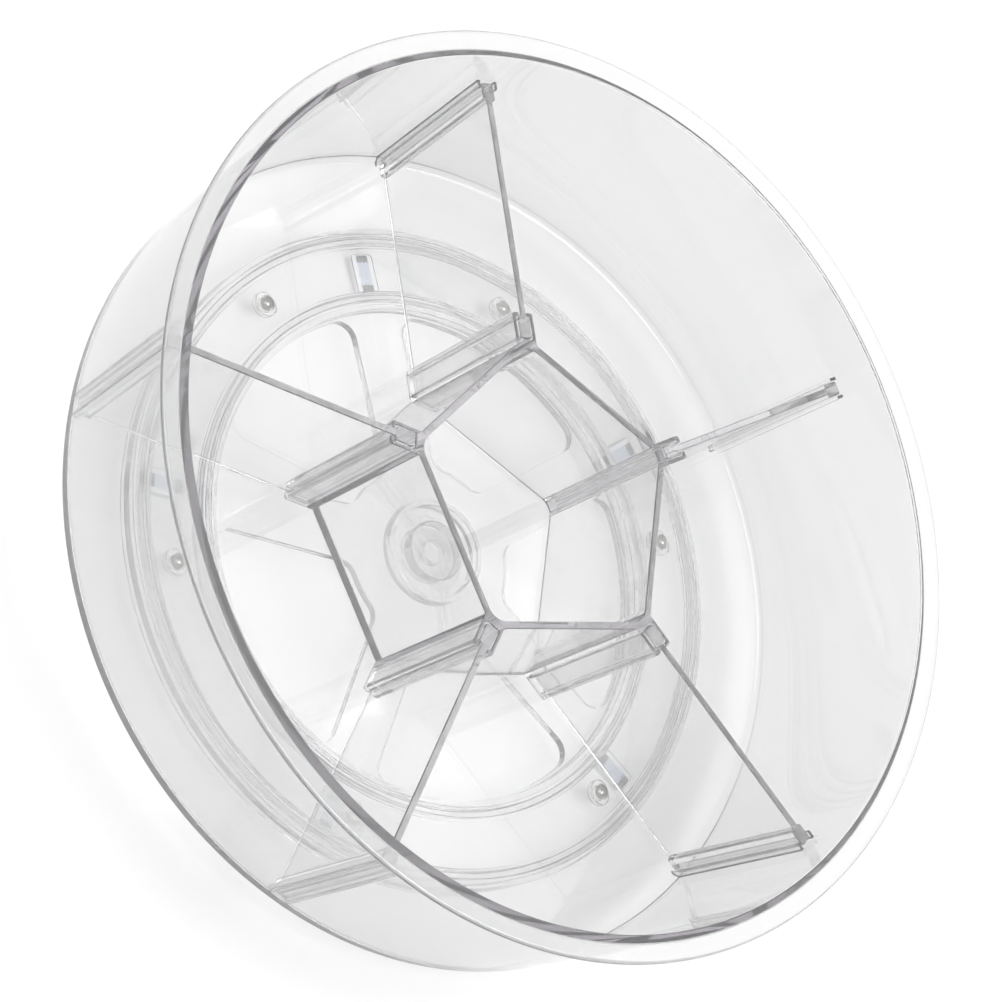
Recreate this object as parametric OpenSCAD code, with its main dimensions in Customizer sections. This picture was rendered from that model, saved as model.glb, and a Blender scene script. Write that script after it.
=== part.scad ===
// Round storage caddy on a turntable.
// A clear drafted tub holds a five-sided centre bin and five lift-out dividers.
// The tub turns on six steel balls that run on a spoked base.
// Units are millimetres. The origin is on the table, on the turning axis, and +Z is up.

/* [Tub] */
// Outside diameter over the flat rim
overall_d = 292; // [240:1:360]
// Width of the flat rim outside the wall
rim_w = 6.2; // [3:0.1:14]
// Thickness of the flat rim
rim_t = 2.2; // [1.6:0.1:4]
// Thickness of the tub's wall
wall_t = 2.3; // [1.6:0.1:4]
// Lean of the tub's wall from the vertical, in degrees
wall_draft = 3.2; // [0.5:0.1:7]
// Depth of the tub, from the rim to the floor
tub_depth = 76.2; // [62:0.1:120]
// Thickness of the tub's floor
floor_t = 2.4; // [1.6:0.1:4]
// Inside fillet between the floor and the wall
floor_fillet = 2.5; // [1:0.1:5]

/* [Centre bin] */
// Distance from the axis to the outside of a flat side
bin_apothem = 41.8; // [30:0.1:52]
// Outside radius of the bin's corners
bin_corner_r = 8.4; // [5:0.1:14]
// Height of the bin
bin_h = 59.2; // [40:0.1:61]
// Thickness of the bin's wall
bin_wall_t = 2.4; // [1.6:0.1:4]
// Thickness of the bin's floor
bin_floor_t = 2; // [1.2:0.1:4]

/* [Dividers] */
// Number of dividers, and of corners on the bin
divider_n = 5; // [5:1:5]
// Height of a divider
divider_h = 59.5; // [40:0.1:61]
// Thickness of a divider's panel
panel_t = 2.3; // [1.4:0.1:3.2]
// Width of the bead at each end of a divider, across the panel
bead_w = 4.7; // [4.1:0.1:7]
// Length of the bead that slides in the bin's socket
bead_in_len = 7; // [4:0.1:10]
// Length of the bead that slides between the tub's guides
bead_out_len = 6; // [4:0.1:10]
// Radius of the beads' long corners
bead_round = 1; // [0.5:0.1:1.2]
// Clearance between a bead and the slot it slides in
slot_clear = 0.35; // [0.2:0.05:0.6]
// Thickness of the web between a bin corner and its socket
socket_web = 0.9; // [0.6:0.1:2]
// Thickness of the socket's sides and lips
socket_t = 1.2; // [0.8:0.1:2]
// Thickness of a guide rib on the tub's wall
guide_t = 1; // [0.8:0.1:2.5]
// How far a guide rib stands in from the tub's wall
guide_reach = 2.6; // [1.5:0.1:6]

/* [Turntable] */
// Diameter of a steel ball
ball_d = 4.76; // [3:0.01:8]
// Number of balls
ball_n = 6; // [6:1:6]
// Angle of the first ball from +X, in degrees
ball_phase = 15; // [0:1:59]
// Radius of the circle that the balls run on
race_r = 95.6; // [80:0.1:110]
// Total free height over the balls
race_gap = 0.04; // [0.02:0.01:0.2]
// Radial width of the ring that keeps the balls apart
cage_w = 15; // [12:0.1:18]
// Thickness of that ring
cage_t = 1.6; // [1:0.1:2]
// Clearance round a ball in its pocket
pocket_clear = 0.25; // [0.1:0.05:0.4]
// Radial gap between the ring, the tub's ribs and the base's walls
rib_gap = 1.2; // [0.6:0.1:2]
// Thickness of the round ribs and walls
rib_t = 2; // [1.2:0.1:3]
// Free height between a rib's edge and the face that it points at
rib_clear = 0.8; // [0.4:0.1:1.5]
// Thickness of the spoked plate
plate_t = 3; // [2:0.1:5]
// Width of a spoke
spoke_w = 19.6; // [12:0.1:26]
// Angle of the first spoke from +X, in degrees
spoke_phase = 23.4; // [0:0.1:71]
// Number of spokes
spoke_n = 5; // [5:1:5]
// Radius of the plate's middle, inside the windows
hub_plate_r = 30; // [26:0.1:40]
// Radius of the windows' rounded corners
window_round = 6; // [2:0.1:9]
// How far the base's outside wall reaches below its plate
skirt_drop = 1.3; // [0:0.1:2]

/* [Pivot] */
// Radius of the journal under the tub's floor
journal_r = 9.5; // [7:0.1:12]
// Radial running clearance round the journal
journal_clear = 0.06; // [0.02:0.01:0.1]
// Outside radius of the round wall that shields the journal
shield_r = 17.3; // [15:0.1:22]
// Radius of the cap that holds the base on
cap_r = 14; // [12:0.1:18]
// Thickness of the cap's disc
cap_t = 1.5; // [1:0.1:2]
// Radius of the cap's shank
shank_r = 4; // [3:0.1:6]
// Length of the cap's shank
shank_len = 5; // [3:0.1:7]
// Free height between the cap and the plate
cap_clear = 0.2; // [0.1:0.05:0.4]

/* [Feet] */
// Height of the feet below the plate
foot_h = 2.5; // [2.2:0.1:6]
// Length of a foot, along the spoke
foot_len = 12.6; // [8:0.1:16]
// Width of a foot
foot_w = 7.5; // [5:0.1:12]
// Depth of the pocket that a foot sits in
foot_pocket = 0.5; // [0.3:0.1:1]
// Radius of a foot's upright corners
foot_round = 1; // [0.5:0.1:2]
// Number of grip grooves at each end of a foot
groove_n = 2; // [1:1:3]
// Width of a grip groove
groove_w = 0.5; // [0.3:0.1:0.8]

/* [Hidden] */
$fn = 96;
// Facets of a full turn on the small corners of flat outlines
small_fn = 32;

// Overrun that makes cuts pass cleanly through a face.
over = 1;
divider_step = 360 / divider_n;
// The first divider points along +Y.
divider_phase = 90;
ball_step = 360 / ball_n;
spoke_step = 360 / spoke_n;

// Heights above the table, from the feet up.
plate_z = foot_h;
race_z = plate_z + plate_t;
ball_z = race_z + (ball_d + race_gap) / 2;
under_z = race_z + ball_d + race_gap;
floor_z = under_z + floor_t;
rim_z = floor_z + tub_depth;
gap_h = under_z - race_z;

// Tub radii. The wall leans by wall_draft, and wall_t is measured across it.
wall_across = wall_t / cos(wall_draft);
rim_in_r = overall_d / 2 - rim_w - wall_across;
floor_r = rim_in_r - tub_depth * tan(wall_draft);

// Bin and socket, along the line from the axis through a corner.
half_step = divider_step / 2;
bin_corner_x = (bin_apothem - bin_corner_r) / cos(half_step) + bin_corner_r;
socket_x0 = bin_corner_x + socket_web;
bead_x0 = socket_x0 + slot_clear;
bead_x1 = bead_x0 + bead_in_len;
socket_x1 = bead_x1 + slot_clear;
socket_w = bead_w + 2 * slot_clear;
// The socket's back runs in through the bin's corner, and the bin's inside cuts it off.
socket_back = bin_corner_x - bin_corner_r;
// Room between an outer bead and the wall, a little more than at its sides.
end_clear = slot_clear * 1.5;

// Turntable radii, outwards and inwards from the race.
ring_in = race_r - cage_w / 2;
ring_out = race_r + cage_w / 2;
rib_in_r = ring_in - rib_gap;
rib_out_r = ring_out + rib_gap;
guard_in_r = rib_in_r - rib_t - rib_gap;
guard_out_r = rib_out_r + rib_t + rib_gap;
base_r = guard_out_r + rib_t;
window_r = guard_in_r - rib_t;
pocket_r = ball_d / 2 + pocket_clear;
pocket_wall = 1.6;
// The pockets close over the balls above and below their middles.
pocket_h = ball_d * 0.66;
bore_r = journal_r + journal_clear;

// A rounded upright bar: x from x0 to x1, w across, corners of radius r.
module rounded_bar(x0, x1, w, h, r) {
    translate([x0 + r, -w / 2, 0])
        cube([x1 - x0 - 2 * r, w, h]);
    translate([x0, r - w / 2, 0])
        cube([x1 - x0, w - 2 * r, h]);
    for (x = [x0 + r, x1 - r], y = [r - w / 2, w / 2 - r])
        translate([x, y, 0])
            cylinder(r = r, h = h);
}

// A round wall between two radii and two heights.
module round_wall(r_in, r_out, z0, z1) {
    translate([0, 0, z0])
        difference() {
            cylinder(r = r_out, h = z1 - z0);
            translate([0, 0, -over])
                cylinder(r = r_in, h = z1 - z0 + 2 * over);
        }
}

// Half section of a leaning cup: radius r0 at height z0, up to z1, bottom corner rounded by f.
module cup_section(r0, z0, z1, f) {
    lean = tan(wall_draft);
    c = [r0 + f * lean - f / cos(wall_draft), z0 + f];
    touch = c + f * [cos(wall_draft), -sin(wall_draft)];
    difference() {
        polygon([[0, z0], [r0, z0], [r0 + (z1 - z0) * lean, z1], [0, z1]]);
        difference() {
            polygon([[c[0], z0 - over], [r0 + over, z0 - over], [touch[0] + over, touch[1]], touch, c]);
            translate(c)
                circle(r = f);
        }
    }
}

// The tub's inside, drawn in by clear at the wall.
module tub_inside(clear) {
    rotate_extrude()
        cup_section(floor_r - clear, floor_z, rim_z + over, floor_fillet + clear);
}

module tub_shell() {
    under_r = floor_r + wall_across - floor_t * tan(wall_draft);
    nose_r = rim_t / 2;
    rotate_extrude()
        difference() {
            union() {
                cup_section(under_r, under_z, rim_z, floor_fillet + floor_t / 2);
                translate([0, rim_z - rim_t])
                    square([overall_d / 2 - nose_r, rim_t]);
                translate([overall_d / 2 - nose_r, rim_z - nose_r])
                    circle(r = nose_r);
            }
            cup_section(floor_r, floor_z, rim_z + over, floor_fillet);
        }
}

// Two upright ribs that lean with the wall and keep a divider's outer bead between them.
module wall_guides() {
    for (s = [-1, 1])
        translate([floor_r, s * (socket_w + guide_t) / 2 - guide_t / 2, floor_z])
            rotate([0, wall_draft, 0])
                translate([-guide_reach, 0, -floor_t / 2])
                    cube([guide_reach + wall_t / 2, guide_t, divider_h + floor_t / 2]);
}

// The tub: floor, leaning wall, flat rim, divider guides, ball-race ribs and pivot journal.
module tub() {
    color([0.93, 0.95, 0.96, 0.35])
        difference() {
            union() {
                tub_shell();
                for (i = [0 : divider_n - 1])
                    rotate([0, 0, divider_phase + i * divider_step])
                        wall_guides();
                round_wall(rib_in_r - rib_t, rib_in_r, race_z + rib_clear, under_z + floor_t / 2);
                round_wall(rib_out_r, rib_out_r + rib_t, race_z + rib_clear, under_z + floor_t / 2);
                translate([0, 0, plate_z - cap_clear])
                    cylinder(r = journal_r, h = under_z + floor_t / 2 - plate_z + cap_clear);
            }
            translate([0, 0, plate_z - cap_clear - over])
                cylinder(r = shank_r, h = shank_len + over);
        }
}

// The bin's flat outline, drawn in by inset: straight sides between round corners.
module bin_outline(inset) {
    rotate(divider_phase)
        offset(r = bin_corner_r - inset)
            circle(r = (bin_apothem - bin_corner_r) / cos(half_step), $fn = divider_n);
}

// A flat bar outline from x0 to x1, w across, with round corners.
module bar_outline(x0, x1, w) {
    offset(r = bead_round, $fn = small_fn)
        translate([x0 + bead_round, bead_round - w / 2])
            square([x1 - x0 - 2 * bead_round, w - 2 * bead_round]);
}

// The bin's outline with a block for a socket on each corner, all its outside corners rounded.
module socket_blocks() {
    out_w = socket_w + 2 * socket_t;
    offset(r = bead_round, $fn = small_fn)
        offset(delta = -bead_round)
            union() {
                bin_outline(0);
                for (i = [0 : divider_n - 1])
                    rotate(divider_phase + i * divider_step)
                        translate([socket_back, -out_w / 2])
                            square([socket_x1 + socket_t - socket_back, out_w]);
            }
}

// The five-sided bin in the middle, with a C-shaped socket on each corner, open outwards.
module centre_bin() {
    color([0.9, 0.92, 0.94, 0.4])
        translate([0, 0, floor_z])
            difference() {
                linear_extrude(height = bin_h)
                    difference() {
                        socket_blocks();
                        for (i = [0 : divider_n - 1])
                            rotate(divider_phase + i * divider_step) {
                                bar_outline(socket_x0, socket_x1, socket_w);
                                translate([socket_x1 - socket_t, -panel_t / 2 - slot_clear])
                                    square([3 * socket_t, panel_t + 2 * slot_clear]);
                            }
                    }
                translate([0, 0, bin_floor_t])
                    linear_extrude(height = bin_h)
                        bin_outline(bin_wall_t);
            }
}

// A flat divider with a bead at each end. The outer bead leans with the tub's wall.
module divider(i) {
    lean_h = divider_h / cos(wall_draft) + 2 * over;
    color([0.88, 0.9, 0.93, 0.4])
        rotate([0, 0, divider_phase + i * divider_step])
            intersection() {
                union() {
                    translate([0, 0, floor_z])
                        rounded_bar(bead_x0, bead_x1, bead_w, divider_h, bead_round);
                    translate([bead_x1 - bead_round, -panel_t / 2, floor_z])
                        cube([floor_r - bead_out_len - bead_x1 + 2 * bead_round, panel_t, divider_h]);
                    translate([floor_r, 0, floor_z])
                        rotate([0, wall_draft, 0]) {
                            translate([0, 0, -over])
                                rounded_bar(-end_clear - bead_out_len, -end_clear, bead_w, lean_h,
                                    bead_round);
                            translate([-3 * bead_out_len, -panel_t / 2, -over])
                                cube([3 * bead_out_len - end_clear - bead_round, panel_t, lean_h]);
                        }
                }
                tub_inside(slot_clear);
                translate([0, 0, floor_z])
                    cylinder(r = overall_d / 2, h = divider_h);
            }
}

// The cap under the pivot: its shank fills the journal's hole, and its disc holds the base on.
module hub_cap() {
    top = plate_z - cap_clear;
    color([0.9, 0.92, 0.94, 0.5])
        translate([0, 0, top - cap_t]) {
            cylinder(r = cap_r, h = cap_t);
            cylinder(r = shank_r, h = cap_t + shank_len);
        }
}

// One window of the base: a ring sector between two spokes, with rounded corners.
module window_outline() {
    half = spoke_step / 2;
    far = 2 * window_r;
    offset(r = window_round)
        offset(delta = -window_round)
            difference() {
                intersection() {
                    circle(r = window_r);
                    polygon([[0, 0], far * [cos(half), -sin(half)], [far, 0],
                        far * [cos(half), sin(half)]]);
                }
                circle(r = hub_plate_r);
                for (s = [-1, 1])
                    rotate(s * half)
                        translate([0, -spoke_w / 2])
                            square([far, spoke_w]);
            }
}

// The pocket under a spoke's end that a foot sits in.
module foot_seat(i) {
    rotate([0, 0, spoke_phase + i * spoke_step])
        translate([race_r, 0, plate_z - over])
            rounded_bar(-foot_len / 2 - slot_clear, foot_len / 2 + slot_clear,
                foot_w + 2 * slot_clear, foot_pocket + over, foot_round + slot_clear);
}

// The spoked base: plate with the ball race, two guard walls, hub shield and pivot bore.
module base() {
    color([0.9, 0.93, 0.95, 0.35])
        difference() {
            union() {
                translate([0, 0, plate_z])
                    cylinder(r = base_r, h = plate_t);
                round_wall(guard_out_r, base_r, plate_z - skirt_drop, under_z - rib_clear);
                round_wall(window_r, guard_in_r, plate_z, under_z - rib_clear);
                round_wall(shield_r - rib_t, shield_r, plate_z, under_z - rib_clear);
            }
            translate([0, 0, plate_z - over])
                cylinder(r = bore_r, h = gap_h + plate_t + 2 * over);
            for (i = [0 : spoke_n - 1])
                rotate([0, 0, spoke_phase + (i + 0.5) * spoke_step])
                    translate([0, 0, plate_z - over])
                        linear_extrude(height = plate_t + 2 * over)
                            window_outline();
            for (i = [0 : spoke_n - 1])
                foot_seat(i);
        }
}

// Place for ball i on the race.
module at_ball(i) {
    rotate([0, 0, ball_phase + i * ball_step])
        translate([race_r, 0, ball_z])
            children();
}

// The loose ring that keeps the balls apart, with a pocket round each ball.
module ball_ring() {
    color([0.93, 0.94, 0.95, 0.4])
        difference() {
            union() {
                round_wall(ring_in, ring_out, ball_z - cage_t / 2, ball_z + cage_t / 2);
                for (i = [0 : ball_n - 1])
                    at_ball(i)
                        cylinder(r = pocket_r + pocket_wall, h = pocket_h, center = true);
            }
            for (i = [0 : ball_n - 1])
                at_ball(i)
                    sphere(r = pocket_r);
        }
}

module ball(i) {
    color("silver")
        at_ball(i)
            sphere(d = ball_d);
}

// A soft foot under the end of spoke i, with grip grooves across each end of its underside.
module foot(i) {
    color([0.72, 0.76, 0.84, 0.8])
        rotate([0, 0, spoke_phase + i * spoke_step])
            translate([race_r, 0, 0])
                difference() {
                    rounded_bar(-foot_len / 2, foot_len / 2, foot_w, foot_h + foot_pocket, foot_round);
                    for (s = [-1, 1], k = [1 : groove_n])
                        translate([s * (foot_len / 2 - foot_round - (2 * k - 1) * groove_w) - groove_w / 2,
                            -foot_w, -over])
                            cube([groove_w, 2 * foot_w, over + groove_w]);
                }
}

tub();
centre_bin();
divider(0);  // divider_1
divider(1);  // divider_2
divider(2);  // divider_3
divider(3);  // divider_4
divider(4);  // divider_5
hub_cap();
base();
ball_ring();
ball(0);  // ball_1
ball(1);  // ball_2
ball(2);  // ball_3
ball(3);  // ball_4
ball(4);  // ball_5
ball(5);  // ball_6
foot(0);  // foot_1
foot(1);  // foot_2
foot(2);  // foot_3
foot(3);  // foot_4
foot(4);  // foot_5
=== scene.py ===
"""Looks of the tool storage caddy: clear moulded plastic, steel balls and soft feet on a pale floor.

Sizes are in millimetres until a mesh is made. Flat points are complex numbers: x + y*1j, or
radius + height*1j.
"""
import cmath
import math

import bmesh
import bpy
from mathutils import Matrix, Vector
from mathutils.geometry import tessellate_polygon


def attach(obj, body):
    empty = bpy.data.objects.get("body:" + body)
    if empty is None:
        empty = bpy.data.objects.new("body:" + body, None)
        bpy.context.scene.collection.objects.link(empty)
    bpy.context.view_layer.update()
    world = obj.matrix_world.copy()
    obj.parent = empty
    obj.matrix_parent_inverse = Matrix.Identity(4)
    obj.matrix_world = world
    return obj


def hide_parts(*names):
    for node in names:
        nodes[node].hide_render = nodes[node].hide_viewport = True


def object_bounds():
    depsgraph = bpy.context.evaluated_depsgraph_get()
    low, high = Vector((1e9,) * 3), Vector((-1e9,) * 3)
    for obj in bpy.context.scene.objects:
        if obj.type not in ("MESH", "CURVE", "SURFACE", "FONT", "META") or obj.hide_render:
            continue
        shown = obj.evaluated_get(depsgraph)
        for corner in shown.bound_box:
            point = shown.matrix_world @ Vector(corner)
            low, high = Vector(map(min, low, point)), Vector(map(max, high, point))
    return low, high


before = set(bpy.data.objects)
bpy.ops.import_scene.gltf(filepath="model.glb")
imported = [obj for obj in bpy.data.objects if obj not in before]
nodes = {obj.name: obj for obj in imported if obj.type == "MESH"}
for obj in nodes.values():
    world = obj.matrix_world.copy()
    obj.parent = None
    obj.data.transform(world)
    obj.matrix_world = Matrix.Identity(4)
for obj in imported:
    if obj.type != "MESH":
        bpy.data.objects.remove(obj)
scene = bpy.context.scene
cad_lo, cad_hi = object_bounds()
MM = 0.001

# Camera, as in the photograph: it looks down into the tub and is rolled on its side.
CAM_AZIMUTH = math.radians(3.83)
CAM_ELEVATION = math.radians(49.47)
CAM_ROLL = math.radians(64.36)
CAM_LENS = 110.36
CAM_SENSOR = 36.0
CAM_DEPTH = 982.3
AIM_RIGHT = 19.3
AIM_UP = 15.2

# Tub
RIM_R = 146.0
RIM_T = 2.2
RIM_ROUND = RIM_T / 2.05
RIM_Z = 88.9
FLOOR_Z = 12.7
UNDER_Z = 10.3
WALL_LEAN = math.tan(math.radians(3.2))
WALL_IN_TOP_R = 137.5
WALL_IN_FLOOR_R = 133.24
WALL_ACROSS = 2.3
FLOOR_FILLET = 2.5
UNDER_FILLET = 2.2
FLOOR_RINGS = (0, 15, 30, 60, 90, 110)

# Guides for the dividers' outer beads
GUIDE_Y = 3.2
GUIDE_T = 1.0
GUIDE_REACH = 2.6
GUIDE_H = 59.5
GUIDE_FOOT_R = WALL_IN_FLOOR_R - GUIDE_REACH
# Rows of the wall's grid beside the guides, and how far the rows above them stand over their tops
GUIDE_ROWS = 12
ROWS_ABOVE = (5, 9, 13)
# Depth that stands for a guide's crest: counted back from it, and so just short of 0
CREST = -0.0001

# Bin and dividers
CORNERS = 5
CORNER_PHASE = 90
HALF_STEP = math.radians(180 / CORNERS)
BIN_APOTHEM = 41.8
BIN_CORNER_R = 8.4
BIN_WALL = 2.4
BIN_FLOOR = 2.0
BIN_H = 59.2
SOCKET_X0 = 50.58
SOCKET_X1 = 58.28
SOCKET_HALF = 2.7
SOCKET_T = 1.2
SLOT_HALF = 1.5
BEAD_X0 = 50.93
BEAD_X1 = 57.93
BEAD_HALF = 2.35
BEAD_OUT_LEN = 6.0
BEAD_END_CLEAR = 0.525
BEAD_ROUND = 0.9
BEAD_ROOT = 0.2
PANEL_HALF = 1.15
DIVIDER_H = 59.5
DIVIDER_RINGS = (0.9, 1.4, 2.0, 2.8, 20, 40)
DIVIDER_FOOT_CLEAR = 0.35

# Turntable
RACE_Z = 5.5
PLATE_Z = 2.5
BALL_Z = 7.9
RACE_R = 95.6
BALLS = 6
BALL_PHASE = 15
RIB_T = 2.0
RIB_LOW_Z = 6.3
RIB_IN_R = 86.9
RIB_OUT_R = 104.3
GUARD_IN_R = 83.7
GUARD_OUT_R = 107.5
GUARD_TOP_Z = 9.5
WINDOW_R = 81.7
SKIRT_Z = 1.2
SHIELD_R = 17.3
BORE_R = 9.56
SPOKES = 5
SPOKE_PHASE = 23.4
SPOKE_HALF = 9.8
HUB_R = 30.0
WINDOW_ROUND = 6.0
RING_IN_R = 88.1
RING_OUT_R = 103.1
RING_HALF_T = 0.8
POCKET_R = 2.63
POCKET_WALL = 1.6
POCKET_HALF_H = 1.57
JOURNAL_R = 9.5
JOURNAL_Z = 2.3
SHANK_R = 4.0
SHANK_TOP_Z = 7.3
CAP_R = 14.0
CAP_T = 1.5

# Feet
FOOT_LEN = 12.6
FOOT_W = 7.5
FOOT_ROUND = 1.0
SEAT_DEPTH = 0.5
SEAT_CLEAR = 0.35

# Air left between clear pieces that rest on each other, so that light meets both faces
AIR = 0.15
# Rounding of the moulded edges
EDGE = 0.4
FINE_EDGE = 0.3

# Steps round a full turn, a ball's pocket, the hub cap, and the bin's and the windows' corners
TURN_STEPS = 720
POCKET_STEPS = 48
CAP_STEPS = 120
BIN_CORNER_STEPS = 16
WINDOW_CORNER_STEPS = 10
WINDOW_OUTER_STEPS = 40
WINDOW_INNER_STEPS = 12

# Points closer than this, in metres, are one. Edges sharper than this, in degrees, stay sharp.
WELD = 1e-7
SHARP_ANGLE = 50


# ---------------------------------------------------------------- flat outlines

def polar(radius, degrees):
    return cmath.rect(radius, math.radians(degrees))


def corner_heading(i):
    """Heading of the bin's corner i and its divider, in degrees."""
    return CORNER_PHASE + i * 360 / CORNERS


def spoke_heading(i):
    return SPOKE_PHASE + i * 360 / SPOKES


def fillet(corners, steps=4, closed=True):
    """Outline points from corners (x, y, radius), each corner rounded by its radius."""
    points = []
    last = len(corners) - 1
    for i, (x, y, radius) in enumerate(corners):
        p = complex(x, y)
        if radius == 0 or (not closed and i in (0, last)):
            points.append(p)
            continue
        before = complex(*corners[i - 1][:2]) - p
        after = complex(*corners[(i + 1) % (last + 1)][:2]) - p
        before /= abs(before)
        after /= abs(after)
        half = abs(cmath.phase(after / before)) / 2
        centre = p + (before + after) / abs(before + after) * radius / math.sin(half)
        arm = p + before * radius / math.tan(half) - centre
        turn = cmath.phase((p + after * radius / math.tan(half) - centre) / arm)
        points += [centre + arm * cmath.exp(1j * turn * k / steps) for k in range(steps + 1)]
    return points


def inset(points, distance):
    """A closed outline moved to its left by distance."""
    moved = []
    for i, p in enumerate(points):
        a = p - points[i - 1]
        b = points[(i + 1) % len(points)] - p
        a /= abs(a)
        b /= abs(b)
        side = 1j * (a + b) / abs(a + b)
        moved.append(p + side * distance / (side.conjugate() * 1j * a).real)
    return moved


def arc(centre, radius, start, end, steps):
    return [centre + polar(radius, start + (end - start) * k / steps) for k in range(steps + 1)]


# ---------------------------------------------------------------- shells

class Shell:
    """A closed skin put together from rings of points."""

    def __init__(self):
        self.points = []
        self.faces = []

    def ring(self, points):
        first = len(self.points)
        self.points += [Vector(p) for p in points]
        return list(range(first, len(self.points)))

    def flat_ring(self, outline, z):
        return self.ring([(p.real, p.imag, z) for p in outline])

    def wall(self, a, b):
        for i in range(len(a)):
            self.faces.append((a[i - 1], a[i], b[i], b[i - 1]))

    def walls(self, rings):
        for a, b in zip(rings, rings[1:]):
            self.wall(a, b)

    def cap(self, ring):
        self.faces.append(tuple(ring))

    def sheet(self, *rings):
        """Flat face inside the first ring, with the other rings as holes."""
        order = [i for ring in rings for i in ring]
        for triangle in tessellate_polygon([[self.points[i] for i in ring] for ring in rings]):
            self.faces.append(tuple(order[k] for k in triangle))

    def lathe(self, path, centre=0, steps=TURN_STEPS):
        """Turns a path of radius + height*1j about the upright line through centre. Returns its rings."""
        rings = []
        for p in path:
            turn = [centre + polar(p.real, 360 * k / steps) for k in range(steps)]
            rings.append(self.flat_ring(turn, p.imag))
        self.walls(rings)
        return rings

    def build(self, name, material, body, node):
        mesh = bpy.data.meshes.new(name)
        mesh.from_pydata([p * MM for p in self.points], [], self.faces)
        bm = bmesh.new()
        bm.from_mesh(mesh)
        bmesh.ops.remove_doubles(bm, verts=bm.verts, dist=WELD)
        bmesh.ops.dissolve_degenerate(bm, edges=bm.edges, dist=WELD)
        bmesh.ops.recalc_face_normals(bm, faces=bm.faces)
        for f in bm.faces:
            f.smooth = True
        bm.to_mesh(mesh)
        bm.free()
        mesh.set_sharp_from_angle(angle=math.radians(SHARP_ANGLE))
        mesh.materials.append(material)
        piece = bpy.data.objects.new(name, mesh)
        scene.collection.objects.link(piece)
        shade = piece.modifiers.new("even_shading", "WEIGHTED_NORMAL")
        shade.keep_sharp = True
        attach(piece, body)
        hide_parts(node)
        return piece


# ---------------------------------------------------------------- materials

# Plastic: refraction, polish, height and width of its ripples in mm, and the colour of its depth
PLASTIC_IOR = 1.5
PLASTIC_ROUGHNESS = 0.015
RIPPLE = 0.006
RIPPLE_SIZE = 25
DEPTH_COLOUR = (0.47, 0.43, 0.49)

# Steel: colour, range of roughness, and size of the patches in it in mm
STEEL_COLOUR = (0.62, 0.60, 0.57, 1)
STEEL_ROUGHNESS = (0.04, 0.12)
STEEL_PATCH = 1.1

# Foot pads, in mm: half width of the bluish band, size of its patches, length of the grips at the ends,
# and half width of their teeth
PAD_BAND = 2.25
PAD_PATCH = 1.6
PAD_GRIP = 2.0
PAD_TOOTH = 0.75
PAD_ROUGHNESS = 0.45
PAD_EDGE_COLOUR = (0.90, 0.91, 0.94, 1)
PAD_BAND_DARK = (0.48, 0.54, 0.67, 1)
PAD_BAND_LIGHT = (0.60, 0.66, 0.79, 1)
PAD_GRIP_COLOUR = (0.03, 0.03, 0.033, 1)


def new_material(name):
    material = bpy.data.materials.new(name)
    material.use_nodes = True
    tree = material.node_tree
    tree.nodes.clear()
    out = tree.nodes.new("ShaderNodeOutputMaterial")
    shader = tree.nodes.new("ShaderNodeBsdfPrincipled")
    return material, tree, out, shader


def object_noise(tree, size):
    """Noise with features about size millimetres across."""
    coord = tree.nodes.new("ShaderNodeTexCoord")
    noise = tree.nodes.new("ShaderNodeTexNoise")
    noise.inputs["Scale"].default_value = 1 / (size * MM)
    noise.inputs["Detail"].default_value = 2.0
    tree.links.new(coord.outputs["Object"], noise.inputs["Vector"])
    return noise.outputs["Fac"]


def maths(tree, operation, *values):
    """A maths node on links or numbers."""
    node = tree.nodes.new("ShaderNodeMath")
    node.operation = operation
    for socket, value in zip(node.inputs, values):
        if isinstance(value, (int, float)):
            socket.default_value = value
        else:
            tree.links.new(value, socket)
    return node.outputs["Value"]


def mixed(tree, factor, under, over):
    """One colour over another, each a link or a plain colour."""
    mix = tree.nodes.new("ShaderNodeMix")
    mix.data_type = "RGBA"
    tree.links.new(factor, mix.inputs["Factor"])
    for socket, colour in (("A", under), ("B", over)):
        if isinstance(colour, tuple):
            mix.inputs[socket].default_value = colour
        else:
            tree.links.new(colour, mix.inputs[socket])
    return mix.outputs["Result"]


def clear_plastic(name, tint, haze, shadow, depth_density):
    """Moulded clear plastic. Its surface has faint ripples and haze, and its depth takes light away,
    which draws the dark lines where light runs along a wall. Shadow rays pass, so the lamps light
    what is inside it."""
    material, tree, out, glass = new_material(name)
    glass.inputs["Base Color"].default_value = (*tint, 1)
    glass.inputs["Roughness"].default_value = PLASTIC_ROUGHNESS
    glass.inputs["IOR"].default_value = PLASTIC_IOR
    glass.inputs["Transmission Weight"].default_value = 1 - haze
    bump = tree.nodes.new("ShaderNodeBump")
    bump.inputs["Strength"].default_value = 1.0
    bump.inputs["Distance"].default_value = RIPPLE * MM
    tree.links.new(object_noise(tree, RIPPLE_SIZE), bump.inputs["Height"])
    tree.links.new(bump.outputs["Normal"], glass.inputs["Normal"])
    clear = tree.nodes.new("ShaderNodeBsdfTransparent")
    clear.inputs["Color"].default_value = (shadow, shadow, shadow, 1)
    path = tree.nodes.new("ShaderNodeLightPath")
    mix = tree.nodes.new("ShaderNodeMixShader")
    depth = tree.nodes.new("ShaderNodeVolumeAbsorption")
    depth.inputs["Color"].default_value = (*DEPTH_COLOUR, 1)
    depth.inputs["Density"].default_value = depth_density
    tree.links.new(path.outputs["Is Shadow Ray"], mix.inputs["Fac"])
    tree.links.new(glass.outputs["BSDF"], mix.inputs[1])
    tree.links.new(clear.outputs["BSDF"], mix.inputs[2])
    tree.links.new(mix.outputs["Shader"], out.inputs["Surface"])
    tree.links.new(depth.outputs["Volume"], out.inputs["Volume"])
    return material


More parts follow.
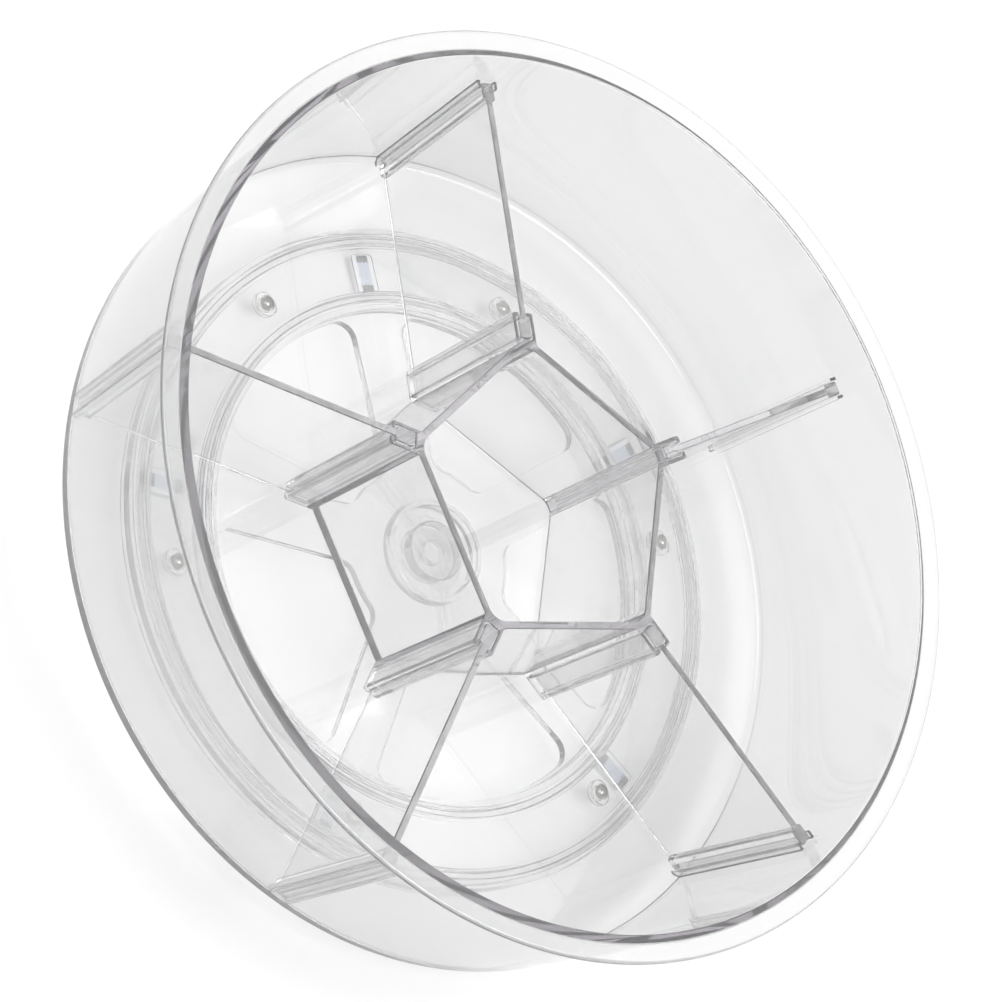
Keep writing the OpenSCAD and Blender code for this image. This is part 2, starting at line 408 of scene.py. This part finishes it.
def polished_steel(name):
    """Steel whose polish varies a little over a ball."""
    material, tree, out, metal = new_material(name)
    metal.inputs["Base Color"].default_value = STEEL_COLOUR
    metal.inputs["Metallic"].default_value = 1.0
    spread = tree.nodes.new("ShaderNodeMapRange")
    spread.inputs["To Min"].default_value, spread.inputs["To Max"].default_value = STEEL_ROUGHNESS
    tree.links.new(object_noise(tree, STEEL_PATCH), spread.inputs["Value"])
    tree.links.new(spread.outputs["Result"], metal.inputs["Roughness"])
    tree.links.new(metal.outputs["BSDF"], out.inputs["Surface"])
    return material


def soft_pad(name, heading):
    """Pad with a bluish band along its middle and dark, toothed grips at its ends. heading is its
    spoke's, in degrees."""
    material, tree, out, pad = new_material(name)
    pad.inputs["Roughness"].default_value = PAD_ROUGHNESS
    coord = tree.nodes.new("ShaderNodeTexCoord")
    turn = tree.nodes.new("ShaderNodeMapping")
    turn.inputs["Rotation"].default_value = (0, 0, math.radians(-heading))
    tree.links.new(coord.outputs["Object"], turn.inputs["Vector"])
    split = tree.nodes.new("ShaderNodeSeparateXYZ")
    tree.links.new(turn.outputs["Vector"], split.inputs["Vector"])
    along = maths(tree, "ABSOLUTE", maths(tree, "SUBTRACT", split.outputs["X"], RACE_R * MM))
    across = maths(tree, "ABSOLUTE", split.outputs["Y"])
    tooth = maths(tree, "PINGPONG", split.outputs["Y"], PAD_TOOTH * MM)
    band = maths(tree, "LESS_THAN", across, PAD_BAND * MM)
    grip_from = (FOOT_LEN / 2 - PAD_GRIP) * MM
    end = maths(tree, "GREATER_THAN", maths(tree, "ADD", along, tooth), grip_from)
    grip = maths(tree, "MULTIPLY", end, band)
    ramp = tree.nodes.new("ShaderNodeValToRGB")
    ramp.color_ramp.elements[0].color = PAD_BAND_DARK
    ramp.color_ramp.elements[1].color = PAD_BAND_LIGHT
    tree.links.new(object_noise(tree, PAD_PATCH), ramp.inputs["Fac"])
    colour = mixed(tree, band, PAD_EDGE_COLOUR, ramp.outputs["Color"])
    colour = mixed(tree, grip, colour, PAD_GRIP_COLOUR)
    tree.links.new(colour, pad.inputs["Base Color"])
    tree.links.new(pad.outputs["BSDF"], out.inputs["Surface"])
    return material


def matt(name, grey):
    material, tree, out, body = new_material(name)
    body.inputs["Base Color"].default_value = (grey, grey, grey, 1)
    body.inputs["Roughness"].default_value = 0.9
    body.inputs["Specular IOR Level"].default_value = 0.0
    tree.links.new(body.outputs["BSDF"], out.inputs["Surface"])
    return material


TUB_CLEAR = clear_plastic("tub_clear_plastic", tint=(0.88, 0.885, 0.88), haze=0.08, shadow=0.77,
                          depth_density=20.0)
BIN_CLEAR = clear_plastic("bin_clear_plastic", tint=(0.95, 0.95, 0.95), haze=0.06, shadow=0.94,
                          depth_density=11.0)
PANEL_CLEAR = clear_plastic("divider_clear_plastic", tint=(0.985, 0.985, 0.985), haze=0.06, shadow=0.98,
                            depth_density=5.0)
BASE_CLEAR = clear_plastic("base_clear_plastic", tint=(0.98, 0.98, 0.98), haze=0.03, shadow=0.99,
                           depth_density=9.0)
STEEL = polished_steel("polished_ball_steel")


# ---------------------------------------------------------------- tub

def tub_profile():
    """The tub's half section: the inside from the axis to the wall, and the rim and outside back to the
    axis."""
    wall_foot_r = WALL_IN_FLOOR_R + WALL_ACROSS - (FLOOR_Z - UNDER_Z) * WALL_LEAN
    flange_z = RIM_Z - RIM_T
    flange_r = wall_foot_r + (flange_z - UNDER_Z) * WALL_LEAN
    inside = fillet([
        (0, FLOOR_Z, 0),
        (WALL_IN_FLOOR_R, FLOOR_Z, FLOOR_FILLET),
        (WALL_IN_TOP_R, RIM_Z, 0),
    ], 6, closed=False)
    outside = fillet([
        (WALL_IN_TOP_R - WALL_LEAN, RIM_Z - 1, 0),
        (WALL_IN_TOP_R, RIM_Z, EDGE),
        (RIM_R, RIM_Z, RIM_ROUND),
        (RIM_R, flange_z, RIM_ROUND),
        (flange_r, flange_z, 2 * EDGE),
        (wall_foot_r, UNDER_Z, UNDER_FILLET),
        (RIB_OUT_R + RIB_T, UNDER_Z, EDGE),
        (RIB_OUT_R + RIB_T, RIB_LOW_Z, EDGE),
        (RIB_OUT_R, RIB_LOW_Z, EDGE),
        (RIB_OUT_R, UNDER_Z, EDGE),
        (RIB_IN_R, UNDER_Z, EDGE),
        (RIB_IN_R, RIB_LOW_Z, EDGE),
        (RIB_IN_R - RIB_T, RIB_LOW_Z, EDGE),
        (RIB_IN_R - RIB_T, UNDER_Z, EDGE),
        (JOURNAL_R, UNDER_Z, 2 * EDGE),
        (JOURNAL_R, JOURNAL_Z, EDGE),
        (SHANK_R, JOURNAL_Z, EDGE),
        (SHANK_R, SHANK_TOP_Z, EDGE),
        (0, SHANK_TOP_Z, 0),
    ], 5, closed=False)
    return inside[:-1], outside[1:]


def guide_steps():
    """Pairs of place across a guide's flank and depth there. A depth below 0 is counted back from the
    guide's crest."""
    soft = 0.3 * FINE_EDGE
    half = GUIDE_T / 2
    return [(half + FINE_EDGE, 0), (half + soft, soft), (half, FINE_EDGE),
            (half, -FINE_EDGE), (half - soft, -soft), (half - FINE_EDGE, CREST)]


def from_wall(depth, full):
    """A depth counted from the wall. full is the guide's whole depth."""
    return depth if depth >= 0 else full + depth


def tub_columns():
    """Columns of the tub's grid as heading, offset across the heading, and depth into a guide there."""
    columns = []
    flank = guide_steps()
    for i in range(CORNERS):
        heading = corner_heading(i)
        for side in (-1, 1):
            columns += [(heading, side * GUIDE_Y - place, depth) for place, depth in flank]
            columns += [(heading, side * GUIDE_Y + place, depth) for place, depth in reversed(flank)]
        edge = math.degrees(math.asin((GUIDE_Y + GUIDE_T) / WALL_IN_FLOOR_R))
        gap = 360 / CORNERS - 2 * edge
        steps = TURN_STEPS // CORNERS
        columns += [(heading + edge + gap * k / steps, 0, 0) for k in range(steps + 1)]
    return columns


def tub_rows():
    """Rows of the tub's grid as radius, height and depth into a guide there. None is a row clear of the
    guides."""
    inside, outside = tub_profile()
    rows = [(r, FLOOR_Z, None) for r in (*FLOOR_RINGS, GUIDE_FOOT_R - 2, GUIDE_FOOT_R)]
    rows += [(p.real, p.imag, math.inf) for p in inside[1:]]
    top = FLOOR_Z + GUIDE_H
    low = inside[-1].imag
    span = top - 1 - low
    heights = [(low + span * k / GUIDE_ROWS, math.inf) for k in range(1, GUIDE_ROWS + 1)]
    heights += [(top - GUIDE_T / 2 + place, depth) for place, depth in reversed(guide_steps())]
    heights += [(top + rise, None) for rise in ROWS_ABOVE]
    rows += [(WALL_IN_FLOOR_R + (z - FLOOR_Z) * WALL_LEAN, z, depth) for z, depth in heights]
    return rows + [(p.real, p.imag, None) for p in outside]


def build_tub():
    """Lathe grid whose columns gather at the guides, where the wall steps in to make the ribs."""
    columns = tub_columns()
    shell = Shell()
    rings = []
    for r, z, row_depth in tub_rows():
        full = max(0.0, r - GUIDE_FOOT_R - (z - FLOOR_Z) * WALL_LEAN)
        reference = r if row_depth is not None else WALL_IN_TOP_R
        ring = []
        for heading, y, depth in columns:
            step = 0
            if row_depth is not None and depth != 0:
                step = min(from_wall(depth, full), from_wall(row_depth, full))
                step = min(max(step, 0), full)
            p = polar(r, math.degrees(math.asin(y / reference))) - step
            p *= polar(1, heading)
            ring.append((p.real, p.imag, z))
        rings.append(shell.ring(ring))
    shell.walls(rings)
    return shell.build("tub_shell", TUB_CLEAR, "tub", "tub")


# ---------------------------------------------------------------- bin and dividers

def bin_outline():
    """The bin's outside with a C-shaped socket on each corner, counter-clockwise."""
    centre_x = (BIN_APOTHEM - BIN_CORNER_R) / math.cos(HALF_STEP)
    out_x = SOCKET_X1 + SOCKET_T
    out_y = SOCKET_HALF + SOCKET_T
    meet = math.degrees(math.asin(out_y / BIN_CORNER_R))
    root = arc(centre_x, BIN_CORNER_R, -math.degrees(HALF_STEP), -meet - 3, 3)
    half = [(p.real, p.imag, 0) for p in root] + [
        (centre_x + math.sqrt(BIN_CORNER_R ** 2 - out_y ** 2), -out_y, 0),
        (out_x, -out_y, BEAD_ROUND),
        (out_x, -SLOT_HALF, 0),
        (SOCKET_X1, -SLOT_HALF, 0),
        (SOCKET_X1, -SOCKET_HALF, BEAD_ROUND),
        (SOCKET_X0, -SOCKET_HALF, BEAD_ROUND),
    ]
    corner = half + [(x, -y, r) for x, y, r in reversed(half)]
    outline = fillet(corner)
    return [p * polar(1, corner_heading(i)) for i in range(CORNERS) for p in outline]


def bin_inside():
    tip = (BIN_APOTHEM - BIN_WALL) / math.cos(HALF_STEP)
    tips = [polar(tip, corner_heading(i)) for i in range(CORNERS)]
    return fillet([(p.real, p.imag, BIN_CORNER_R - BIN_WALL) for p in tips], BIN_CORNER_STEPS)


def edge_turn(radius, steps=3):
    """Pairs of inset and drop that round an edge, from its side face to its end face."""
    turns = [math.radians(90 * k / steps) for k in range(steps + 1)]
    return [(radius * (1 - math.cos(turn)), radius * (1 - math.sin(turn))) for turn in turns]


def build_bin():
    shell = Shell()
    outline = bin_outline()
    inside = bin_inside()
    bottom = FLOOR_Z + AIR
    top = FLOOR_Z + BIN_H
    floor_top = FLOOR_Z + BIN_FLOOR
    outer = [shell.flat_ring(inset(outline, d), bottom + h) for d, h in reversed(edge_turn(EDGE))]
    outer += [shell.flat_ring(inset(outline, d), top - h) for d, h in edge_turn(EDGE)]
    inner = [shell.flat_ring(inset(inside, -d), top - h) for d, h in reversed(edge_turn(EDGE))]
    inner += [shell.flat_ring(inset(inside, d), floor_top + h) for d, h in edge_turn(2 * EDGE)]
    shell.walls(outer)
    shell.walls(inner)
    shell.cap(outer[0])
    shell.sheet(outer[-1], inner[0])
    shell.cap(inner[-1])
    return shell.build("bin_shell", BIN_CLEAR, "centre_bin", "centre_bin")


def divider_outline(z, lift):
    """A divider's plan at height z above the tub's floor. lift is how far its end stands off the floor's
    fillet."""
    end = WALL_IN_FLOOR_R - BEAD_END_CLEAR + z * WALL_LEAN
    start = end - BEAD_OUT_LEN
    end -= lift
    half = [
        (BEAD_X0, -BEAD_HALF, BEAD_ROUND),
        (BEAD_X1, -BEAD_HALF, BEAD_ROUND),
        (BEAD_X1, -PANEL_HALF, BEAD_ROOT),
        (start, -PANEL_HALF, BEAD_ROOT),
        (start, -BEAD_HALF, BEAD_ROUND),
        (end, -BEAD_HALF, BEAD_ROUND),
    ]
    return fillet(half + [(x, -y, r) for x, y, r in reversed(half)])


def build_divider(i):
    shell = Shell()
    heading = polar(1, corner_heading(i))
    round_r = FLOOR_FILLET + DIVIDER_FOOT_CLEAR
    levels = [(d, AIR + h) for d, h in reversed(edge_turn(EDGE))]
    levels += [(0, z) for z in DIVIDER_RINGS]
    levels += [(d, DIVIDER_H - h) for d, h in edge_turn(EDGE)]
    rings = []
    for d, z in levels:
        rise = max(0, round_r - z)
        lift = round_r - math.sqrt(max(0, round_r ** 2 - rise ** 2))
        outline = [p * heading for p in inset(divider_outline(z, lift), d)]
        rings.append(shell.flat_ring(outline, FLOOR_Z + z))
    shell.walls(rings)
    shell.cap(rings[0])
    shell.cap(rings[-1])
    name = f"divider_{i + 1}"
    return shell.build(name + "_panel", PANEL_CLEAR, name, name)


# ---------------------------------------------------------------- turntable

def window_outline():
    """One window of the base between two spokes, counter-clockwise, with its middle half a step from the
    first spoke."""
    outer_r = WINDOW_R - 2 * EDGE
    lift = SPOKE_HALF + WINDOW_ROUND
    step = 360 / SPOKES
    far = cmath.phase(complex(math.sqrt((outer_r - WINDOW_ROUND) ** 2 - lift ** 2), lift))
    near = cmath.phase(complex(math.sqrt((HUB_R + WINDOW_ROUND) ** 2 - lift ** 2), lift))
    far, near = math.degrees(far), math.degrees(near)
    far_centre = polar(outer_r - WINDOW_ROUND, far)
    near_centre = polar(HUB_R + WINDOW_ROUND, near)
    lower = arc(near_centre, WINDOW_ROUND, near + 180, 270, WINDOW_CORNER_STEPS)
    lower += arc(far_centre, WINDOW_ROUND, -90, far, WINDOW_CORNER_STEPS)
    upper = [p.conjugate() * polar(1, step) for p in reversed(lower)]
    outer = arc(0, outer_r, far, step - far, WINDOW_OUTER_STEPS)[1:-1]
    inner = arc(0, HUB_R, step - near, near, WINDOW_INNER_STEPS)[1:-1]
    return lower + outer + upper + inner


def seat_outline():
    """The pocket for a foot under the end of the first spoke."""
    x = FOOT_LEN / 2 + SEAT_CLEAR
    y = FOOT_W / 2 + SEAT_CLEAR
    corner = FOOT_ROUND + SEAT_CLEAR
    return fillet([
        (RACE_R - x, -y, corner),
        (RACE_R + x, -y, corner),
        (RACE_R + x, y, corner),
        (RACE_R - x, y, corner),
    ])


def base_rim_path():
    """The base's half section outside the windows, from the plate's top to its underside."""
    return fillet([
        (WINDOW_R - 2 * EDGE, RACE_Z, 0),
        (WINDOW_R, RACE_Z, FINE_EDGE),
        (WINDOW_R, GUARD_TOP_Z, EDGE),
        (GUARD_IN_R, GUARD_TOP_Z, EDGE),
        (GUARD_IN_R, RACE_Z, EDGE),
        (GUARD_OUT_R, RACE_Z, EDGE),
        (GUARD_OUT_R, GUARD_TOP_Z, EDGE),
        (GUARD_OUT_R + RIB_T, GUARD_TOP_Z, EDGE),
        (GUARD_OUT_R + RIB_T, SKIRT_Z, EDGE),
        (GUARD_OUT_R, SKIRT_Z, EDGE),
        (GUARD_OUT_R, PLATE_Z, EDGE),
        (GUARD_OUT_R - 1, PLATE_Z, 0),
    ], closed=False)[1:]


def base_hub_path():
    """The base's half section round the bore, from the plate's top to its underside."""
    return fillet([
        (SHIELD_R + 1, RACE_Z, 0),
        (SHIELD_R, RACE_Z, EDGE),
        (SHIELD_R, GUARD_TOP_Z, EDGE),
        (SHIELD_R - RIB_T, GUARD_TOP_Z, EDGE),
        (SHIELD_R - RIB_T, RACE_Z, EDGE),
        (BORE_R, RACE_Z, FINE_EDGE),
        (BORE_R, PLATE_Z, FINE_EDGE),
        (BORE_R + 1, PLATE_Z, 0),
    ], closed=False)[1:-1]


def cut_window(shell, outline):
    """Walls of a window through the plate. Returns its rings, from the top down."""
    rings = [shell.flat_ring(inset(outline, -d), RACE_Z - h) for d, h in reversed(edge_turn(EDGE))]
    rings += [shell.flat_ring(inset(outline, -d), PLATE_Z + h) for d, h in edge_turn(EDGE)]
    shell.walls(rings)
    return rings


def cut_seat(shell, outline):
    """A closed pocket in the plate's underside. Returns the ring of its mouth."""
    rings = [shell.flat_ring(inset(outline, -d), PLATE_Z + h) for d, h in reversed(edge_turn(FINE_EDGE))]
    rings.append(shell.flat_ring(outline, PLATE_Z + SEAT_DEPTH + AIR))
    shell.walls(rings)
    shell.cap(rings[-1])
    return rings[0]


def build_base():
    shell = Shell()
    rim = shell.lathe(base_rim_path())
    hub = shell.lathe(base_hub_path())
    tops, bottoms = [], []
    for i in range(SPOKES):
        spoke = polar(1, spoke_heading(i))
        window = cut_window(shell, [p * spoke for p in window_outline()])
        tops.append(window[0])
        bottoms.append(window[-1])
        bottoms.append(cut_seat(shell, [p * spoke for p in seat_outline()]))
    shell.sheet(rim[0], hub[0], *tops)
    shell.sheet(rim[-1], hub[-1], *bottoms)
    return shell.build("base_shell", BASE_CLEAR, "base", "base")


def ring_edge_path(radius, inward, top, low):
    """Path down an edge of the ball ring. inward is a step from the edge into the ring's flat faces."""
    return fillet([
        (radius + inward, top, 0),
        (radius, top, FINE_EDGE),
        (radius, low, FINE_EDGE),
        (radius + inward, low, 0),
    ], closed=False)[1:-1]


def pocket_path(top, low):
    """Path from the ring's top over a ball's pocket and through it to the ring's underside."""
    out_r = POCKET_R + POCKET_WALL
    return fillet([
        (out_r + 1, top, 0),
        (out_r, top, FINE_EDGE / 2),
        (out_r, BALL_Z + POCKET_HALF_H, FINE_EDGE),
        (POCKET_R, BALL_Z + POCKET_HALF_H, FINE_EDGE),
        (POCKET_R, BALL_Z - POCKET_HALF_H, FINE_EDGE),
        (out_r, BALL_Z - POCKET_HALF_H, FINE_EDGE),
        (out_r, low, FINE_EDGE / 2),
        (out_r + 1, low, 0),
    ], closed=False)[1:-1]


def build_ball_ring():
    shell = Shell()
    top = BALL_Z + RING_HALF_T
    low = BALL_Z - RING_HALF_T
    outer = shell.lathe(ring_edge_path(RING_OUT_R, -1, top, low))
    inner = shell.lathe(ring_edge_path(RING_IN_R, 1, top, low))
    tops, lows = [], []
    for i in range(BALLS):
        ball = polar(RACE_R, BALL_PHASE + i * 360 / BALLS)
        rings = shell.lathe(pocket_path(top, low), centre=ball, steps=POCKET_STEPS)
        tops.append(rings[0])
        lows.append(rings[-1])
    shell.sheet(outer[0], inner[0], *tops)
    shell.sheet(outer[-1], inner[-1], *lows)
    return shell.build("ball_ring_shell", BASE_CLEAR, "ball_ring", "ball_ring")


def build_hub_cap():
    shell = Shell()
    top = JOURNAL_Z - AIR
    low = JOURNAL_Z - CAP_T
    shell.lathe(fillet([
        (0, SHANK_TOP_Z - AIR, 0),
        (SHANK_R - AIR, SHANK_TOP_Z - AIR, EDGE),
        (SHANK_R - AIR, top, FINE_EDGE),
        (CAP_R, top, EDGE),
        (CAP_R, low, EDGE),
        (0, low, 0),
    ], closed=False), steps=CAP_STEPS)
    return shell.build("hub_cap_shell", BASE_CLEAR, "tub", "hub_cap")


build_tub()
build_bin()
for i in range(CORNERS):
    build_divider(i)
build_base()
build_ball_ring()
build_hub_cap()


def paint(node, material):
    mesh = nodes[node].data
    mesh.materials.clear()
    mesh.materials.append(material)


for i in range(BALLS):
    paint(f"ball_{i + 1}", STEEL)
for i in range(SPOKES):
    paint(f"foot_{i + 1}", soft_pad(f"foot_pad_{i + 1}", spoke_heading(i)))


# ---------------------------------------------------------------- studio

# Height in the sky, as a sine, where the horizon's colour has turned into the zenith's
SKY_TURN = 0.45
FLOOR_GREY = 0.9
CLEAR_BOUNCES = 40


def build_floor(reach):
    """Flat floor that reaches so many metres each way."""
    corners = [(-reach, -reach, 0), (reach, -reach, 0), (reach, reach, 0), (-reach, reach, 0)]
    mesh = bpy.data.meshes.new("studio_floor")
    mesh.from_pydata(corners, [], [(0, 1, 2, 3)])
    mesh.materials.append(matt("studio_floor_paper", FLOOR_GREY))
    floor = bpy.data.objects.new("studio_floor", mesh)
    floor.location.z = cad_lo.z - AIR * MM
    scene.collection.objects.link(floor)


def soft_lamp(name, place, spread, strength):
    """Even light over the whole floor from the direction of place. spread is the lamp's width in
    degrees."""
    data = bpy.data.lights.new(name, "SUN")
    data.angle = math.radians(spread)
    data.energy = strength
    lamp = bpy.data.objects.new(name, data)
    scene.collection.objects.link(lamp)
    lamp.location = place
    lamp.rotation_mode = "QUATERNION"
    lamp.rotation_quaternion = (-Vector(place)).to_track_quat("-Z", "Y")


def build_world(zenith, horizon, glow, glow_from, glow_reach):
    """Grey sky with a soft glow round one direction, which gives the plastic a broad sheen without a
    hard edge. glow_reach is the glow's half width in degrees."""
    world = bpy.data.worlds.new("studio_world")
    scene.world = world
    world.use_nodes = True
    tree = world.node_tree
    coord = tree.nodes.new("ShaderNodeTexCoord")
    split = tree.nodes.new("ShaderNodeSeparateXYZ")
    ramp = tree.nodes.new("ShaderNodeValToRGB")
    ramp.color_ramp.elements[0].position = 0.0
    ramp.color_ramp.elements[0].color = (*horizon, 1)
    ramp.color_ramp.elements[1].position = SKY_TURN
    ramp.color_ramp.elements[1].color = (*zenith, 1)
    tree.links.new(coord.outputs["Generated"], split.inputs["Vector"])
    tree.links.new(split.outputs["Z"], ramp.inputs["Fac"])
    facing = tree.nodes.new("ShaderNodeVectorMath")
    facing.operation = "DOT_PRODUCT"
    facing.inputs[1].default_value = Vector(glow_from).normalized()
    tree.links.new(coord.outputs["Generated"], facing.inputs[0])
    spread = tree.nodes.new("ShaderNodeMapRange")
    spread.interpolation_type = "SMOOTHERSTEP"
    spread.inputs["From Min"].default_value = math.cos(math.radians(glow_reach))
    spread.inputs["From Max"].default_value = 1.0
    spread.inputs["To Max"].default_value = glow
    tree.links.new(facing.outputs["Value"], spread.inputs["Value"])
    add = tree.nodes.new("ShaderNodeVectorMath")
    add.operation = "ADD"
    tree.links.new(ramp.outputs["Color"], add.inputs[0])
    tree.links.new(spread.outputs["Result"], add.inputs[1])
    tree.links.new(add.outputs["Vector"], tree.nodes["Background"].inputs["Color"])


build_floor(reach=40.0)
soft_lamp("key_lamp", place=(0.6, 0.5, 2.0), spread=34, strength=1.67)
soft_lamp("fill_lamp", place=(-0.7, -0.6, 2.0), spread=40, strength=0.81)
build_world(zenith=(0.42, 0.42, 0.42), horizon=(0.97, 0.97, 0.97),
            glow=1.0, glow_from=(0.16, 1.12, 1.2), glow_reach=26)

scene.view_settings.view_transform = "Standard"
scene.cycles.max_bounces = CLEAR_BOUNCES
scene.cycles.transmission_bounces = CLEAR_BOUNCES
scene.cycles.transparent_max_bounces = CLEAR_BOUNCES
scene.cycles.glossy_bounces = 12
scene.cycles.diffuse_bounces = 3
scene.cycles.caustics_reflective = False


# ---------------------------------------------------------------- camera

def build_camera():
    back = Vector((math.sin(CAM_AZIMUTH) * math.cos(CAM_ELEVATION),
                   -math.cos(CAM_AZIMUTH) * math.cos(CAM_ELEVATION),
                   math.sin(CAM_ELEVATION)))
    level = Vector((math.cos(CAM_AZIMUTH), math.sin(CAM_AZIMUTH), 0))
    right = Matrix.Rotation(CAM_ROLL, 3, back) @ level
    up = back.cross(right)
    aim = Vector((0, 0, FLOOR_Z)) + AIM_RIGHT * right + AIM_UP * up
    data = bpy.data.cameras.new("photo_camera")
    data.lens = CAM_LENS
    data.sensor_width = CAM_SENSOR
    camera = bpy.data.objects.new("photo_camera", data)
    scene.collection.objects.link(camera)
    place = Matrix.Translation((aim + CAM_DEPTH * back) * MM)
    camera.matrix_world = place @ Matrix((right, up, back)).transposed().to_4x4()
    scene.camera = camera


build_camera()
